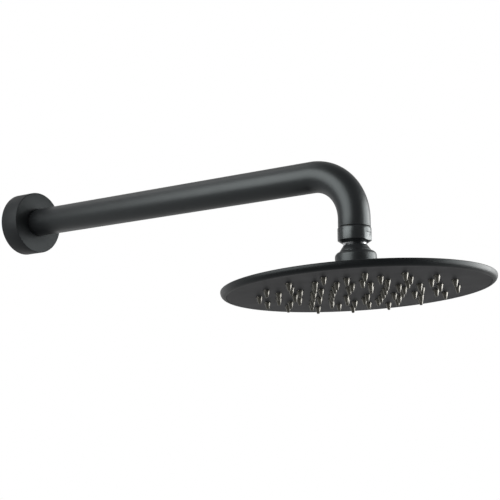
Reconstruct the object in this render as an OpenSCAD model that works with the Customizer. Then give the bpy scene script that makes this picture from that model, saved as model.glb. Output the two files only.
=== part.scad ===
// Overhead shower head on a wall arm, millimetres, +Z up.
// The origin is on the tube's axis where the flange meets the wall: the wall is the plane y = 0,
// the arm runs out along -Y, bends down, and carries the spray head on a ball joint.
// The head's own pieces are drawn about the ball's centre, with the spray axis along Z,
// and in_head() tips and turns them to how the head hangs.

/* [Arm] */
// distance from the wall to the axis of the drop
arm_reach = 350; // [250:1:450]
// outer diameter of the arm tube
tube_d = 24; // [22.6:0.1:30]
// wall thickness of the arm tube
tube_wall = 1.2; // [0.8:0.1:1.5]
// radius of the bend, on the tube's centre line
bend_r = 36; // [28:1:60]
// length of the straight drop below the bend
drop_straight = 6.3; // [5:0.1:40]
// rounding of the tube's cut ends
tube_edge = 0.5; // [0.2:0.1:0.9]

/* [Wall thread] */
// major diameter of the pipe thread at the wall
wall_thread_d = 20.955; // [16.662:0.001:21.5]
// length of the thread that goes into the wall
wall_thread_len = 14; // [10:0.5:25]
// length of the brazed spigot inside the tube
spigot_len = 12; // [6:0.5:25]
// thickness of the shoulder that the tube is brazed against
shoulder_t = 1.5; // [1:0.1:4]
// diameter of the waterway through both end fittings
waterway_d = 15; // [8:0.5:16]
// distance from the wall to the shoulder's wall side
shoulder_setback = 2.5; // [1:0.1:6]

/* [Wall flange] */
// outer diameter of the wall flange
flange_d = 54; // [46:1:90]
// depth of the wall flange, from the wall to its front
flange_t = 18.5; // [12:0.5:30]
// wall thickness of the flange's skirt
flange_wall = 1.6; // [1:0.1:4]
// thickness of the flange's front
flange_front_t = 2.4; // [1.5:0.1:4]
// depth of the collar that holds the sealing ring
flange_collar_t = 6.4; // [5.6:0.1:10]
// wall thickness of that collar outside the ring's groove
flange_collar_wall = 1.8; // [1:0.1:4]
// chamfer on the flange's front edge
flange_edge = 0.6; // [0.2:0.1:1.5]
// section diameter of the sealing ring in the flange
o_ring_section = 2.5; // [1.5:0.1:3.2]
// radial gap between the flange and the tube
slide_gap = 0.1; // [0.05:0.01:0.1]

/* [Swivel nut] */
// outer diameter of the swivel nut
nut_d = 24.9; // [23.8:0.1:32]
// width of the chamfer on the nut's top edge
nut_edge_w = 0.6; // [0.2:0.1:0.8]
// height of that chamfer
nut_edge_h = 1; // [0.4:0.1:2]
// width across the nut's two spanner flats
nut_flats_w = 23.3; // [21.4:0.1:23.4]
// height of the spanner flats, up from the ball's centre
nut_flats_h = 4.6; // [3:0.1:6]
// height of the bevel under the nut
nut_bevel_h = 2.05; // [1:0.05:2.6]
// major diameter of the thread under the tube
outlet_thread_d = 20.955; // [20:0.001:21.2]
// length of the thread under the tube
outlet_thread_len = 3.3; // [2.8:0.1:3.6]
// thickness of the friction ring under the thread
friction_ring_t = 0.85; // [0.5:0.05:1.2]
// height of the packing ring that seals on the ball
packing_h = 2.35; // [1.5:0.05:2.8]

/* [Ball joint] */
// diameter of the ball
ball_d = 18.6; // [17.6:0.1:18.8]
// distance from the tube's end down to the ball's centre
ball_depth = 9.2; // [9:0.1:11.5]
// how far the nut's lip reaches below the ball's centre
lip_drop = 2.85; // [2.2:0.05:3.2]
// gap between the ball and its socket
socket_gap = 0.08; // [0.03:0.01:0.1]
// height of the flat on top of the ball, above its centre
ball_flat_h = 6.4; // [5.5:0.1:7]
// diameter of the ball's shank
shank_d = 15; // [13:0.1:15.4]
// length of the shank, down from the ball's centre
shank_len = 21; // [15:0.5:22]
// diameter of the waterway through the ball
ball_bore_d = 10; // [6:0.5:10]
// diameter of the flow regulator in the ball's top
regulator_d = 11.6; // [10.8:0.1:11.8]
// height of the flow regulator
regulator_h = 3.2; // [2:0.1:4]
// how far the head hangs tipped back towards the wall
rest_tilt = 3.3; // [-6:0.1:6]
// how far the head is turned about its own axis
rest_turn = 1.5; // [-180:0.5:180]

/* [Collar and hub] */
// distance from the ball's centre down to the collar's top
collar_top = 4.4; // [4.3:0.1:5]
// height of the conical collar
collar_h = 4.8; // [3:0.1:6]
// diameter of the collar's top
collar_top_d = 17.5; // [17:0.1:17.7]
// diameter of the collar's base
collar_base_d = 23.4; // [20:0.1:24]
// diameter of the hub
hub_d = 30.6; // [27:0.1:40]
// rounding of the hub's shoulder
hub_round = 3.7; // [1:0.1:4]
// diameter of the hub's threaded spigot
hub_spigot_d = 19; // [17:0.1:20]
// height of the lock nut on that spigot
lock_nut_h = 3.7; // [2:0.1:4]
// width across the flats of the lock nut
lock_nut_w = 25; // [24:0.5:28]
// thickness of the gasket under the hub
hub_gasket_t = 0.6; // [0.4:0.1:1.5]

/* [Spray head] */
// diameter of the spray head
head_d = 200; // [180:1:300]
// distance from the ball's centre down to the head's underside
head_drop = 38.5; // [36:0.1:50]
// height of the head's rim
rim_h = 5.2; // [4.6:0.1:8]
// rounding of the rim's lower edge
rim_round_low = 3.8; // [1:0.1:4.4]
// rounding of the rim's upper edge
rim_round_top = 0.6; // [0.3:0.1:1]
// width of the flat between that rounding and the face plate's recess
rim_flat = 0.4; // [0.2:0.1:2]
// height of the dome above the rim
dome_rise = 7.3; // [6:0.1:14]
// wall thickness of the shell
shell_t = 1.5; // [1:0.1:1.8]
// diameter of the flat on top of the dome, under the hub
land_d = 33; // [32:0.5:44]
// thickness of the shell under that flat
land_t = 1.9; // [1.5:0.1:3]
// gap round the face plate
face_gap = 0.15; // [0.1:0.05:0.6]
// chamfer on the face plate's edge
face_edge = 0.15; // [0.1:0.05:0.6]
// how far the face plate lies above the rim's underside
face_inset = 0.1; // [0:0.05:0.4]
// thickness of the face plate
face_t = 1.2; // [0.8:0.1:1.4]
// thickness of the nozzle mat's web
mat_t = 0.8; // [0.5:0.1:1]
// thickness of the backing plate
backing_t = 1.4; // [1.2:0.1:1.5]
// thickness of the gasket round the backing plate
rim_gasket_t = 0.6; // [0.4:0.1:0.8]
// width of that gasket
rim_gasket_w = 5.6; // [3:0.1:8]

/* [Nozzles] */
// number of nozzles in each full ring
nozzles_per_ring = 16; // [12:2:20]
// number of rings, the innermost with half as many nozzles
ring_count = 5; // [3:1:5]
// radius of the outermost ring
ring_r = 71.7; // [70:0.1:84]
// distance from one ring to the next
ring_pitch = 12.85; // [12:0.05:13.5]
// diameter of a nozzle at the face plate
nozzle_base_d = 4.4; // [3.6:0.1:5]
// diameter of a nozzle at its tip
nozzle_tip_d = 2.6; // [2:0.1:3]
// how far the nozzles stand out below the head
nozzle_len = 5.3; // [3:0.1:7]
// diameter of the jet hole in the tip
jet_d = 1.1; // [0.8:0.1:1.5]
// diameter of the water inlet behind each nozzle
inlet_d = 2.8; // [2:0.1:3.2]
// gap between a nozzle and its hole in the face plate
nozzle_gap = 0.3; // [0.1:0.05:0.6]

/* [Plate screws] */
// number of nozzles of a ring from one plate screw to the next
nozzles_per_screw = 2; // [2:1:4]
// shank diameter of a plate screw
screw_d = 2.5; // [2:0.1:3]
// head diameter of a plate screw
screw_head_d = 5.2; // [4:0.1:5.6]
// length of a plate screw
screw_len = 5; // [4:0.1:5.4]
// diameter of the bosses that the screws go into
boss_d = 6.4; // [5:0.1:8]

/* [Hidden] */
$fn = 96;
eps = 0.01;

// fits between pieces that are screwed, brazed or pressed together
fit_gap = 0.05;
thread_gap = 0.05;
seam_gap = 0.1;
// small chamfers on turned fittings, on thread ends, on the shank and on spigots
fitting_edge = 0.5;
thread_edge = 1;
shank_edge = 0.8;
// chamfer and break at the mouth of the flange's bore and under the collar
mouth_edge = 0.3;
// flat on the edge of the nut's lip, and the ledge that its packing sits on
lip_flat = 0.36;
packing_ledge = 0.25;
// width of the foot that the face plate's edge rests on
foot_w = 2.7;
// how far the regulator lies below the ball's flat
regulator_inset = 0.3;
// space between the lock nut and the end of the hub's spigot
lock_nut_over = 0.7;
// room for the sealing ring along its groove
groove_play = 0.5;
// small break on the collar's lower edge
collar_edge = 0.25;
// how far the strainer's underside lies below the top of the ball's socket
screen_inset = 0.5;
// clearance of gaskets, washers and screws in what holds them
loose_gap = 0.15;

tube_r = tube_d / 2;
tube_bore_r = tube_r - tube_wall;
straight_end = arm_reach - bend_r;
tube_drop = bend_r + drop_straight;
pivot_z = -(tube_drop + ball_depth);
tube_start = shoulder_setback + shoulder_t;
waterway_r = waterway_d / 2;

// about the ball's centre, heights of what hangs from the tube
ball_r = ball_d / 2;
socket_r = ball_r + socket_gap;
nut_r = nut_d / 2;
nut_top = ball_depth - seam_gap;
nipple_end = ball_depth - outlet_thread_len;
friction_top = nipple_end - fit_gap;
packing_top = friction_top - friction_ring_t - fit_gap;
nut_step = packing_top - packing_ledge;
screen_low = socket_r - screen_inset;
outlet_r = outlet_thread_d / 2;
shank_r = shank_d / 2;
ball_bore_r = ball_bore_d / 2;
collar_low = -(collar_top + collar_h);
washer_t = 0.5;

// heights in the head, up from its underside
face_low = face_inset;
face_high = face_low + face_t;
mat_high = face_high + mat_t;
backing_high = mat_high + backing_t;
ledge_high = backing_high + rim_gasket_t;
land_high = rim_h + dome_rise;
land_low = land_high - land_t;
head_r = head_d / 2;
recess_r = head_r - rim_round_low - rim_flat;
plate_r = recess_r - foot_w;
dome_edge_r = head_r - rim_round_top;
// the dome is part of a large ball through the rim's top edge and the edge of its flat
land_r = land_d / 2;
dome_c = (land_high * land_high + land_r * land_r - rim_h * rim_h - dome_edge_r * dome_edge_r)
         / (2 * (land_high - rim_h));
dome_ball_r = sqrt(dome_edge_r * dome_edge_r + (rim_h - dome_c) * (rim_h - dome_c));

spigot_r = hub_spigot_d / 2;
hub_low = land_high + hub_gasket_t - head_drop;
spigot_low = land_low - lock_nut_h - lock_nut_over - head_drop;
ledge_r = plate_r - rim_gasket_w;
screw_ring_r = ring_r - 1.5 * ring_pitch;
screw_count = floor(nozzles_per_ring / nozzles_per_screw);

black = [0.13, 0.13, 0.14];
dark = [0.2, 0.2, 0.22];

// height of the dome's outside at a distance from the axis
function dome_at(r) = dome_c + sqrt(dome_ball_r * dome_ball_r - r * r);
// radius of a ball of radius b at a height above its centre
function ball_at(b, h) = sqrt(b * b - h * h);
// nozzles in one ring, and how far the ring is turned: every second ring sits between its neighbours
function ring_n(k) = k == ring_count - 1 ? nozzles_per_ring / 2 : nozzles_per_ring;
function ring_turn(k) = k % 2 == 0 ? 180 / nozzles_per_ring : 0;

// revolves a profile of (radius, distance into the room) about the arm's axis
module out_of_wall() rotate([90, 0, 0]) rotate_extrude() children();
// puts what is drawn about the ball's centre in place, square to the drop
module at_ball() translate([0, -arm_reach, pivot_z]) children();
// the same for the head, which hangs tipped and turned
module in_head() at_ball() rotate([-rest_tilt, 0, 0]) rotate([0, 0, rest_turn]) children();
// heights counted up from the head's underside
module in_disc() in_head() translate([0, 0, -head_drop]) children();

module each_nozzle()
  for (k = [0 : ring_count - 1])
    for (i = [0 : ring_n(k) - 1])
      rotate([0, 0, ring_turn(k) + i * 360 / ring_n(k)])
        translate([ring_r - k * ring_pitch, 0, 0]) children();

module each_screw()
  for (i = [0 : screw_count - 1])
    rotate([0, 0, (i * nozzles_per_screw + 0.25) * 360 / nozzles_per_ring])
      translate([screw_ring_r, 0, 0]) children();

// flat ring between two radii, from one height to another
module washer(r_in, r_out, low, high)
  translate([0, 0, low]) difference() {
    cylinder(r = r_out, h = high - low);
    translate([0, 0, -1]) cylinder(r = r_in, h = high - low + 2);
  }

// the arm's path as a round bar, with an optional chamfer at both ends and an overrun
module arm_bar(r, edge, over) {
  run = straight_end - tube_start + over;
  drop = drop_straight + over;
  translate([0, -straight_end, 0]) rotate([-90, 0, 0]) rotate_extrude()
    polygon([[0, 0], [r, 0], [r, run - edge], [r - edge, run], [0, run]]);
  translate([0, -straight_end, -bend_r]) rotate([0, -90, 0]) rotate([0, 0, -90])
    rotate_extrude(angle = 90) translate([bend_r, 0]) circle(r = r);
  translate([0, -arm_reach, -bend_r]) mirror([0, 0, 1]) rotate_extrude()
    polygon([[0, 0], [r, 0], [r, drop - edge], [r - edge, drop], [0, drop]]);
}

module arm_tube() color(black)
  difference() {
    arm_bar(tube_r, tube_edge, 0);
    arm_bar(tube_bore_r, 0, 1);
  }

// brazed plug with the pipe thread that screws into the wall
module inlet_nipple() color("goldenrod") {
  thread_r = wall_thread_d / 2;
  spigot_r = tube_bore_r - fit_gap;
  rotate([-90, 0, 0]) rotate_extrude()
    polygon([[waterway_r, -tube_start - spigot_len], [spigot_r - fitting_edge, -tube_start - spigot_len],
             [spigot_r, -tube_start - spigot_len + fitting_edge], [spigot_r, -tube_start],
             [tube_r, -tube_start], [tube_r, -shoulder_setback], [thread_r, -shoulder_setback],
             [thread_r, wall_thread_len - thread_edge], [thread_r - thread_edge, wall_thread_len],
             [waterway_r, wall_thread_len]]);
}

// brazed plug with the thread under the tube's end, hollowed where the ball's top swings
module outlet_nipple() color("goldenrod") {
  spigot_r = tube_bore_r - fit_gap;
  spigot_top = ball_depth + drop_straight - 0.2;
  at_ball() rotate_extrude() difference() {
    polygon([[waterway_r, nipple_end], [outlet_r - fitting_edge, nipple_end],
             [outlet_r, nipple_end + fitting_edge], [outlet_r, ball_depth], [spigot_r, ball_depth],
             [spigot_r, spigot_top - fitting_edge], [spigot_r - fitting_edge, spigot_top],
             [waterway_r, spigot_top]]);
    circle(r = socket_r);
  }
}

// round nut with two spanner flats; the ball rests on its spherical lip
module swivel_nut() color(black) {
  lip_r = ball_at(socket_r, lip_drop) + lip_flat;
  at_ball() difference() {
    rotate_extrude() difference() {
      polygon([[0, -lip_drop], [lip_r, -lip_drop], [nut_r, nut_bevel_h - lip_drop],
               [nut_r, nut_top - nut_edge_h], [nut_r - nut_edge_w, nut_top], [0, nut_top]]);
      circle(r = socket_r);
      square([socket_r + 0.1, nut_top]);
      translate([0, nut_step]) square([outlet_r + thread_gap, nut_top]);
    }
    for (side = [-1, 1])
      translate([-nut_r, side > 0 ? nut_flats_w / 2 : -nut_flats_w / 2 - nut_r, -lip_drop - 1])
        cube([2 * nut_r, nut_r, nut_flats_h + lip_drop + 1]);
  }
}

// cup strainer pressed into the outlet
module filter_screen() color("silver") {
  rim_r = waterway_r - fit_gap;
  pitch = rim_r / 3.2;
  at_ball() translate([0, 0, screen_low]) difference() {
    cylinder(r = rim_r, h = 1);
    translate([0, 0, 0.4]) cylinder(r = rim_r - 0.9, h = 1);
    for (a = [-2 : 2], b = [-2 : 2])
      if (abs(a + b) <= 2)
        translate([(a + b / 2) * pitch, b * pitch * sqrt(3) / 2, -1]) cylinder(d = pitch * 0.7, h = 2);
  }
}

// round cover that slides on the tube: a cup open to the wall, with a collar for its sealing ring
module wall_flange() color(black) {
  r = flange_d / 2;
  bore_r = tube_r + slide_gap;
  groove_r = tube_r + fit_gap + o_ring_section + 0.03;
  groove_w = o_ring_section + groove_play;
  collar_r = groove_r + flange_collar_wall;
  mid = flange_t - flange_collar_t / 2;
  out_of_wall() difference() {
    polygon([[r - flange_wall, 0], [r, 0], [r, flange_t - flange_edge], [r - flange_edge, flange_t],
             [bore_r + mouth_edge, flange_t], [bore_r, flange_t - mouth_edge],
             [bore_r, flange_t - flange_collar_t],
             [collar_r, flange_t - flange_collar_t], [collar_r, flange_t - flange_front_t],
             [r - flange_wall, flange_t - flange_front_t]]);
    translate([0, mid - groove_w / 2]) square([groove_r, groove_w]);
  }
}

module flange_o_ring() color(dark)
  out_of_wall() translate([tube_r + fit_gap + o_ring_section / 2, flange_t - flange_collar_t / 2])
    circle(d = o_ring_section);

// slippery ring between the outlet's end and the packing
module friction_ring() color("ivory")
  at_ball() washer(ball_at(socket_r, friction_top - friction_ring_t) + 0.1,
                   outlet_r - 0.6, friction_top - friction_ring_t, friction_top);

// rubber ring that seals on the ball's upper side
module packing_ring() color(dark)
  at_ball() difference() {
    washer(ball_at(socket_r, packing_top) + 0.2, socket_r, packing_top - packing_h, packing_top);
    sphere(r = socket_r);
  }

// polished ball with its waterway, regulator seat and shank
module ball_stud() color("gainsboro")
  in_head() difference() {
    union() {
      intersection() {
        sphere(r = ball_r);
        translate([0, 0, -ball_r - 1]) cylinder(r = ball_r + 1, h = ball_r + 1 + ball_flat_h);
      }
      rotate_extrude() polygon([[0, 0], [shank_r, 0], [shank_r, shank_edge - shank_len],
                                [shank_r - shank_edge, -shank_len], [0, -shank_len]]);
    }
    translate([0, 0, -shank_len - 1]) cylinder(r = ball_bore_r, h = shank_len + ball_r + 2);
    translate([0, 0, ball_flat_h - regulator_h - regulator_inset])
      cylinder(r = regulator_d / 2 + fit_gap, h = regulator_h + ball_r);
  }

// disc with metering holes round a solid middle
module flow_regulator() color("seagreen")
  in_head() translate([0, 0, ball_flat_h - regulator_h - regulator_inset]) difference() {
    cylinder(d = regulator_d, h = regulator_h);
    for (i = [0 : 5])
      rotate([0, 0, i * 60]) translate([ball_bore_r * 0.62, 0, -1]) cylinder(r = 0.8, h = regulator_h + 2);
    translate([0, 0, regulator_h - 1]) cylinder(r = ball_bore_r * 0.3, h = 2);
  }

// conical collar that locks the shank in the hub and stops short of the nut
module stud_collar() color(black) {
  base_r = collar_base_d / 2;
  in_head() rotate_extrude() difference() {
    polygon([[shank_r + 0.1, -collar_top], [collar_top_d / 2, -collar_top],
             [base_r, collar_low + 2 * collar_edge], [base_r, collar_low + collar_edge],
             [base_r - collar_edge, collar_low], [shank_r + 0.1, collar_low]]);
    circle(r = ball_r + 0.1);
  }
}

// round hub with a threaded spigot through the shell
module hub() color(black) {
  r = hub_d / 2;
  in_head() difference() {
    union() {
      rotate_extrude() union() {
        translate([0, hub_low]) square([r - hub_round, collar_low - hub_low]);
        translate([0, hub_low]) square([r, collar_low - hub_round - hub_low]);
        translate([r - hub_round, collar_low - hub_round]) circle(r = hub_round);
      }
      rotate_extrude() polygon([[0, hub_low + 2], [spigot_r, hub_low + 2],
                                [spigot_r, spigot_low + shank_edge],
                                [spigot_r - shank_edge, spigot_low], [0, spigot_low]]);
    }
    translate([0, 0, -shank_len - washer_t - 0.1]) cylinder(r = shank_r + thread_gap, h = shank_len);
    translate([0, 0, spigot_low - 1]) cylinder(r = ball_bore_r + 0.5, h = collar_low - spigot_low);
  }
}

module stud_washer() color(dark)
  in_head() washer(ball_bore_r + 0.5, shank_r - 0.1, -shank_len - washer_t - 0.05, -shank_len - 0.05);

module hub_gasket() color(dark)
  in_head() washer(spigot_r + loose_gap, hub_d / 2 - 0.5, hub_low - hub_gasket_t, hub_low);

// six-sided nut that clamps the hub to the shell
module hub_lock_nut() color("goldenrod")
  in_disc() translate([0, 0, land_low - lock_nut_h]) difference() {
    cylinder(d = lock_nut_w / cos(30), h = lock_nut_h, $fn = 6);
    translate([0, 0, -1]) cylinder(r = spigot_r + thread_gap, h = lock_nut_h + 2);
  }

// slim dish: rounded rim, low dome, flat for the hub, a ledge and bosses inside
module top_shell() color(black)
  in_disc() difference() {
    union() {
      rotate_extrude() difference() {
        union() {
          square([head_r - rim_round_low, rim_h]);
          translate([0, rim_round_low]) square([head_r, rim_h - rim_round_low - rim_round_top]);
          translate([head_r - rim_round_low, rim_round_low]) circle(r = rim_round_low);
          translate([0, rim_round_low]) square([head_r - rim_round_top, rim_h - rim_round_low]);
          translate([head_r - rim_round_top, rim_h - rim_round_top]) circle(r = rim_round_top);
          intersection() {
            translate([0, dome_c]) circle(r = dome_ball_r, $fn = 720);
            translate([0, rim_h]) square([dome_edge_r, dome_rise]);
          }
        }
        translate([-1, -1]) square([recess_r + 1, face_high + 0.1 + 1]);
        translate([-1, -1]) square([plate_r + face_gap + 1, ledge_high + 1]);
        intersection() {
          translate([0, dome_c]) circle(r = dome_ball_r - shell_t, $fn = 720);
          square([ledge_r, land_low]);
        }
        translate([-1, -1]) square([spigot_r + loose_gap + 1, land_high + 2]);
      }
      each_screw() translate([0, 0, backing_high])
        cylinder(d = boss_d, h = dome_at(screw_ring_r) - shell_t / 2 - backing_high, $fn = 32);
    }
    each_screw() translate([0, 0, backing_high - 1])
      cylinder(d = screw_d + 2 * fit_gap, h = screw_len, $fn = 24);
  }

module rim_gasket() color(dark)
  in_disc() washer(ledge_r + 0.2, plate_r - 0.2, backing_high, ledge_high);

// plate that closes the water chamber, with one port behind each nozzle
module backing_plate() color([0.3, 0.3, 0.33])
  in_disc() difference() {
    translate([0, 0, mat_high]) cylinder(r = plate_r, h = backing_t);
    each_nozzle() translate([0, 0, mat_high - 1]) cylinder(d = inlet_d, h = backing_t + 2, $fn = 24);
    each_screw() {
      translate([0, 0, mat_high - 1]) cylinder(d = screw_d + 2 * loose_gap, h = backing_t + 2, $fn = 24);
      translate([0, 0, mat_high - eps])
        cylinder(r1 = screw_head_d / 2 + fit_gap, r2 = screw_d / 2 + loose_gap, h = backing_t - 0.2,
                 $fn = 24);
    }
  }

module backing_plate_screws() color("silver")
  in_disc() each_screw() translate([0, 0, mat_high]) {
    cylinder(r1 = screw_head_d / 2, r2 = screw_d / 2, h = backing_t - 0.2, $fn = 24);
    translate([0, 0, backing_t - 0.2]) cylinder(d = screw_d, h = screw_len - backing_t + 0.2, $fn = 24);
  }

// one soft mat whose nozzles come through the face plate, each with its tapered jet hole
module nozzle_mat() color([0.17, 0.17, 0.17])
  in_disc() difference() {
    union() {
      translate([0, 0, face_high]) cylinder(r = plate_r - 0.7, h = mat_t);
      each_nozzle() {
        cylinder(d = nozzle_base_d, h = face_high + mat_t / 2, $fn = 32);
        translate([0, 0, -nozzle_len])
          cylinder(d1 = nozzle_tip_d, d2 = nozzle_base_d, h = nozzle_len, $fn = 32);
      }
    }
    each_nozzle() translate([0, 0, -nozzle_len - eps])
      cylinder(d1 = jet_d, d2 = inlet_d, h = nozzle_len + mat_high + 2 * eps, $fn = 24);
  }

// thin face plate with one hole round each nozzle
module face_plate() color(dark)
  in_disc() difference() {
    rotate_extrude() polygon([[0, face_low], [recess_r - face_gap - face_edge, face_low],
                              [recess_r - face_gap, face_low + face_edge],
                              [recess_r - face_gap, face_high], [0, face_high]]);
    each_nozzle() translate([0, 0, -1])
      cylinder(d = nozzle_base_d + 2 * nozzle_gap, h = face_high + 2, $fn = 32);
  }

arm_tube();
inlet_nipple();
outlet_nipple();
swivel_nut();
filter_screen();
wall_flange();
flange_o_ring();
friction_ring();
packing_ring();
ball_stud();
flow_regulator();
stud_collar();
hub();
stud_washer();
hub_gasket();
hub_lock_nut();
top_shell();
rim_gasket();
backing_plate();
backing_plate_screws();
nozzle_mat();
face_plate();
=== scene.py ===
"""Overhead shower head on a wall arm: finished pieces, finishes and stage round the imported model.

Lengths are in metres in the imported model's frame: the wall is the plane y = 0, the arm runs out
along -Y and bends down, and the head hangs from a ball joint. Pieces of the head are drawn about
the ball's centre with the spray axis along Z, then tipped and turned to how the head hangs.
"""

import math

import bmesh
import bpy
from bpy.props import FloatProperty, FloatVectorProperty, IntProperty, PointerProperty
from mathutils import Matrix, Vector


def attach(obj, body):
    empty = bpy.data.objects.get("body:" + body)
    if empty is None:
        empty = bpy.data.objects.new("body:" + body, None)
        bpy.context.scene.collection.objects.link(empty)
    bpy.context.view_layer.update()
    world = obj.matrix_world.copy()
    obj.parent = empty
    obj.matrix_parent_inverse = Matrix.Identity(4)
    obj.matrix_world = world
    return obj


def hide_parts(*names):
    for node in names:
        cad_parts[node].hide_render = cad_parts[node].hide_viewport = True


bl_info = {
    "name": "Overhead Shower Head",
    "version": (1, 0, 0),
    "blender": (4, 5, 0),
    "location": "View3D > Sidebar > Shower Head",
    "description": "Builds the finished pieces of an overhead shower head and its stage",
    "category": "Object",
}

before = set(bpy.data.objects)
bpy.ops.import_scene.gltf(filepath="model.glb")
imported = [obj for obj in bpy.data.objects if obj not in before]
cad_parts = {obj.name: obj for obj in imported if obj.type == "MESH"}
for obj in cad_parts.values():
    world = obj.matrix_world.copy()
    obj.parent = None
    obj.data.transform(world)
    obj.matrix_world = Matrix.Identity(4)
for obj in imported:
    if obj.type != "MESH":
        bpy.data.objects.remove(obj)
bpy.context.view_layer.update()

TURN = 2.0 * math.pi
# the steps of a full turn: large round pieces, small ones, and the parts of one nozzle
ROUND, SMALL_ROUND, NOZZLE_ROUND = 144, 96, 20
MERGE = 1e-7
SHARP = math.radians(32)
FINE_EDGE = 0.00015


def length(name, text, default, low=0.0):
    return FloatProperty(name=name, description=text, default=default, min=low, precision=5,
                         unit="LENGTH", subtype="DISTANCE")


def turn(name, text, degrees):
    return FloatProperty(name=name, description=text, default=math.radians(degrees),
                         unit="ROTATION", subtype="ANGLE")


def colour(name, text, default):
    return FloatVectorProperty(name=name, description=text, default=default, size=3,
                               min=0.0, max=1.0, subtype="COLOR")


def share(name, text, default, high=1.0):
    return FloatProperty(name=name, description=text, default=default, min=min(0.0, default), max=high,
                         subtype="FACTOR" if high == 1.0 else "NONE")


class ArmSizes(bpy.types.PropertyGroup):
    reach: length("Reach", "From the wall to the axis of the drop", 0.350)
    radius: length("Tube radius", "Outer radius of the arm tube", 0.012)
    wall: length("Tube wall", "Wall thickness of the arm tube", 0.0012)
    bend: length("Bend radius", "Radius of the bend on the tube's centre line", 0.036)
    drop: length("Straight drop", "Length of the straight end below the bend", 0.0063)
    start: length("Setback", "From the wall to the start of the tube", 0.004)
    edge: length("Edge", "Rounding of the tube's cut ends", 0.0005)


class InletSizes(bpy.types.PropertyGroup):
    radius: length("Thread radius", "Major radius of the wall thread", 0.0104775)
    length: length("Thread length", "Length of the thread that goes into the wall", 0.014)
    pitch: length("Thread pitch", "Distance from one thread crest to the next", 0.001814)
    depth: length("Thread depth", "Height of a thread from root to crest", 0.001162)
    lead: length("Lead chamfer", "Chamfer at the start of the thread", 0.001)
    bore: length("Bore radius", "Radius of the waterway", 0.0075)
    spigot: length("Spigot", "Length of the brazed part inside the tube", 0.012)
    shoulder: length("Shoulder setback", "From the wall to the shoulder", 0.0025)


class FlangeSizes(bpy.types.PropertyGroup):
    radius: length("Flange radius", "Outer radius of the wall flange", 0.027)
    depth: length("Flange depth", "From the wall to the flange's front", 0.0185)
    wall: length("Skirt wall", "Wall thickness of the skirt", 0.0016)
    front: length("Front thickness", "Thickness of the flange's front", 0.0024)
    collar: length("Collar depth", "Depth of the collar round the tube", 0.0064)
    collar_wall: length("Collar wall", "Wall of the collar outside its groove", 0.0018)
    edge: length("Edge", "Rounding of the front edge", 0.0006)
    gap: length("Slide gap", "Radial gap between the flange and the tube", 0.0001)
    ring: length("Ring section", "Section diameter of the sealing ring", 0.0025)


class NutSizes(bpy.types.PropertyGroup):
    radius: length("Nut radius", "Outer radius of the swivel nut", 0.01245)
    flats: length("Across flats", "Width across the two spanner flats", 0.0233)
    flats_top: length("Flats height", "Top of the flats above the ball's centre", 0.0046)
    bevel: length("Bevel height", "Height of the bevel under the nut", 0.00205)
    top_edge: length("Top chamfer", "Height of the chamfer under the tube", 0.001)
    top_width: length("Top chamfer width", "Width of that chamfer", 0.0006)
    seam: length("Seam", "Gap between the nut and the tube", 0.0001)
    thread: length("Thread radius", "Radius of the nut's thread", 0.0105275)
    step: length("Thread end", "Lower end of the thread above the ball's centre", 0.0047)


class BallSizes(bpy.types.PropertyGroup):
    radius: length("Ball radius", "Radius of the ball", 0.0093)
    depth: length("Ball depth", "From the tube's end down to the ball's centre", 0.0092)
    gap: length("Socket gap", "Gap between the ball and its socket", 0.00008)
    lip: length("Lip drop", "How far the nut's lip reaches below the centre", 0.00285)
    flat: length("Top flat", "Height of the flat on top of the ball", 0.0064)
    shank: length("Shank radius", "Radius of the ball's shank", 0.0075)
    shank_length: length("Shank length", "From the ball's centre to the shank's end", 0.021)
    bore: length("Bore radius", "Radius of the waterway through the ball", 0.005)
    seat: length("Regulator seat radius", "Radius of the pocket in the top", 0.00585)
    seat_depth: length("Regulator seat depth", "Depth of the pocket in the top", 0.0035)
    tilt: turn("Tilt", "How far the head hangs tipped back towards the wall", 3.3)
    spin: turn("Spin", "How far the head is turned about its own axis", 1.5)


class HubSizes(bpy.types.PropertyGroup):
    collar_top: length("Collar top", "From the ball's centre down to the collar", 0.0044)
    collar_height: length("Collar height", "Height of the conical collar", 0.0048)
    collar_small: length("Collar top radius", "Radius of the collar's top", 0.00875)
    collar_large: length("Collar base radius", "Radius of the collar's base", 0.0117)
    radius: length("Hub radius", "Radius of the hub", 0.0153)
    shoulder: length("Hub rounding", "Rounding of the hub's shoulder", 0.0037)
    spigot: length("Spigot radius", "Radius of the threaded spigot", 0.0095)
    spigot_low: length("Spigot length", "From the ball's centre to the spigot's end", 0.0323)
    bottom: length("Hub bottom", "From the ball's centre down to the hub's base", 0.0254)


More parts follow.
